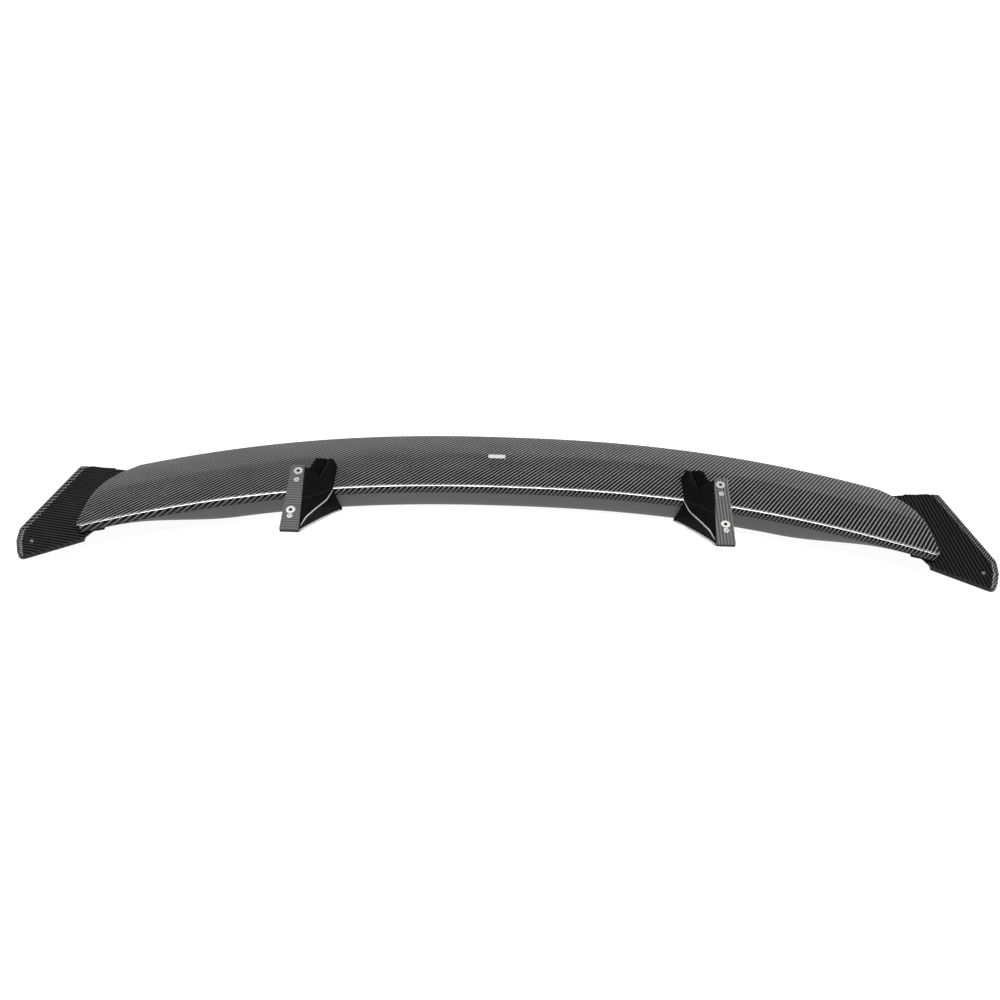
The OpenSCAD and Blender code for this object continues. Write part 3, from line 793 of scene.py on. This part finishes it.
def add_floor(level):
    """A round floor that sweeps up into a backdrop far from the wing."""
    mesh = bpy.data.meshes.new("floor")
    made = bmesh.new()
    rings = []
    for radius, height in ((12.0, 0.0), (13.2, 0.3), (14.0, 1.0), (14.4, 3.2)):
        ring = []
        for k in range(FLOOR_SIDES):
            a = 2 * math.pi * k / FLOOR_SIDES
            ring.append(made.verts.new((radius * math.cos(a), radius * math.sin(a), level + height)))
        rings.append(ring)
    made.faces.new(rings[0])
    for low, high in zip(rings, rings[1:]):
        for k in range(FLOOR_SIDES):
            after = (k + 1) % FLOOR_SIDES
            made.faces.new((low[k], high[k], high[after], low[after]))
    made.to_mesh(mesh)
    made.free()
    floor = bpy.data.objects.new("floor", mesh)
    bpy.context.scene.collection.objects.link(floor)
    graph = Graph("pale_floor")
    floor.data.materials.append(graph.shader([
        ("Base Color", (0.12, 0.12, 0.12, 1)),
        ("Roughness", 0.9),
        ("Specular IOR Level", 0.0),
        ("Emission Color", (1, 1, 1, 1)),
        ("Emission Strength", 0.95),
    ]))


def add_light(name, place, target, size, power):
    data = bpy.data.lights.new(name, "AREA")
    data.shape = "RECTANGLE"
    data.size = size[0]
    data.size_y = size[1]
    data.energy = power
    light = bpy.data.objects.new(name, data)
    light.location = place
    light.rotation_euler = (Vector(target) - Vector(place)).to_track_quat("-Z", "Y").to_euler()
    bpy.context.scene.collection.objects.link(light)


def add_lights():
    middle = (0, 0.15, -0.1)
    add_light("overhead_softbox", (0, 0.2, 1.5), middle, (3.4, 1.15), 160)
    add_light("right_fill", (2.1, -0.2, 1.1), middle, (0.9, 0.9), 22)
    world = bpy.data.worlds.new("studio")
    world.use_nodes = True
    tree = world.node_tree
    back = tree.nodes["Background"]
    back.inputs[0].default_value = (0.96, 0.98, 1, 1)
    back.inputs[1].default_value = 0.1
    bpy.context.scene.world = world


def add_camera():
    azimuth = math.radians(0.48)
    elevation = math.radians(50)
    roll = math.radians(1.55)
    target = Vector((-12.9, 85.9, -110)) * MM
    distance = 1743.6 * MM
    forward = Vector((
        -math.cos(elevation) * math.sin(azimuth),
        math.cos(elevation) * math.cos(azimuth),
        -math.sin(elevation),
    ))
    data = bpy.data.cameras.new("camera")
    data.lens = 40
    data.sensor_width = 36
    data.clip_start = 0.05
    data.clip_end = 40
    camera = bpy.data.objects.new("camera", data)
    turned = forward.to_track_quat("-Z", "Y").to_matrix() @ Matrix.Rotation(roll, 3, "Z")
    camera.matrix_world = Matrix.Translation(target - forward * distance) @ turned.to_4x4()
    bpy.context.scene.collection.objects.link(camera)
    bpy.context.scene.camera = camera


# ---- the scene -------------------------------------------------------------------

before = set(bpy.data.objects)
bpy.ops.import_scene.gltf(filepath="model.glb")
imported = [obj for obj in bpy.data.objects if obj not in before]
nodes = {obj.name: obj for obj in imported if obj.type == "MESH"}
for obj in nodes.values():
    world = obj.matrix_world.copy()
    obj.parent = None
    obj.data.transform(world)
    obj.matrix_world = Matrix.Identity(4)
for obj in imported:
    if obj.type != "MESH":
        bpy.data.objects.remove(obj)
cad_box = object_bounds()

bpy.context.scene.view_settings.view_transform = "Standard"

BLADE_CARBON = carbon("gloss_carbon", cloth_uv, 0.043, 0.0003, 0.4, 0.35)
SATIN = satin_paint("satin_skin", 0.038)
# The right plate's carbon is painted darker than the left's: a shaded copy of the same carbon.
PLATE_CARBON = {
    "left": carbon("plate_carbon_left", plane_uv((1, 0, 0), (0, 1, 0), -50), 0.008, 0.001, 0.4, 0.3),
    "right": carbon("plate_carbon_right", plane_uv((1, 0, 0), (0, 1, 0), 50), 0.0045, 0.001, 0.4, 0.3),
}
RIM_CARBON = carbon("rim_carbon", plane_uv((1, 0, 0), (0, 1, 0), 0), 0.04, 0.004, 0.35, 0.8, 1.4)
PYLON_CARBON = carbon("pylon_carbon", plane_uv((0, 1, 0), (0, 0, 1), 0), 0.006, 0.0015, 0.4, 0.03, shine=0.0)
RAW = {"left": raw_laminate("raw_carbon_left", -45), "right": raw_laminate("raw_carbon_right", 45)}
METAL = brushed_metal("bright_metal", 0.36, 0.34)
BADGE = satin_paint("badge_print", 0.2)
# Bright metal for the beads that stand in as painted highlight lines on edges and creases.
EDGE = painted_highlight_metal("painted_highlight_metal")
BLOCK = brushed_metal("milled_aluminium", 0.7, 0.4, 3.0)
FOAM = core_material("core_board", (0.6, 0.5, 0.3), 1.2)
GLUE = core_material("adhesive", (0.16, 0.18, 0.2), 0.3)

lower = blade_lower_shell()
shade_smooth(lower, 40)
finish_piece(lower, BLADE_CARBON)
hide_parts("blade_lower_skin")

upper = blade_upper_shell()
shade_smooth(upper, 40)
finish_piece(upper, SATIN)
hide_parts("blade_upper_skin")

for side in SIDES:
    rim = end_plate_rim(side)
    shade_smooth(rim, 50)
    finish_piece(rim, RIM_CARBON)
    core = end_plate_core(side)
    shade_smooth(core, 35)
    finish_piece(core, PLATE_CARBON[side])
    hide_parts("end_plate_body_" + side)
    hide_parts("end_plate_body_" + side)
    # Bright metal beads along each pylon's crease and front edge and along the rim's crest: painted
    # highlight lines.
    for line in (crease_line(side), front_edge_line(side), rim_line(side)):
        shade_smooth(line, 60)
        finish_piece(line, EDGE)

# A bead of bright metal along the blade's nose: a painted highlight line.
nose = nose_line()
shade_smooth(nose, 60)
finish_piece(nose, EDGE)

FINISHES = {
    "front_spar": (FOAM, 0),
    "trailing_edge_bond": (GLUE, 0),
    "badge_plate": (BADGE, 0.2),
    "tip_block": (PYLON_CARBON, 0.4),
    "hardpoint_block": (BLOCK, 0.4),
    "pylon_inner_shell": (PYLON_CARBON, 1.0),
    "pylon_outer_shell": (PYLON_CARBON, 1.0),
    "pylon_saddle": (PYLON_CARBON, 0.4),
    "saddle_bolts": (METAL, 0.3),
    "foot_plate": (RAW, 0.5),
    "foot_inserts": (METAL, 0.25),
    "foot_screws": (METAL, 0.2),
    "end_plate_panel": (PLATE_CARBON, 0.3),
    "end_plate_bolts": (METAL, 0.3),
    "end_plate_tip_screw": (METAL, 0.25),
}

for name, node in nodes.items():
    for prefix, (material, edge) in FINISHES.items():
        if name.startswith(prefix):
            side = name.rsplit("_", 1)[-1]
            chosen = material[side] if isinstance(material, dict) else material
            node.data.materials.clear()
            node.data.materials.append(chosen)
            if edge:
                soften_edges(node, edge)

floor_level = cad_box[0][2] - 0.002
add_floor(floor_level)
add_lights()
add_camera()
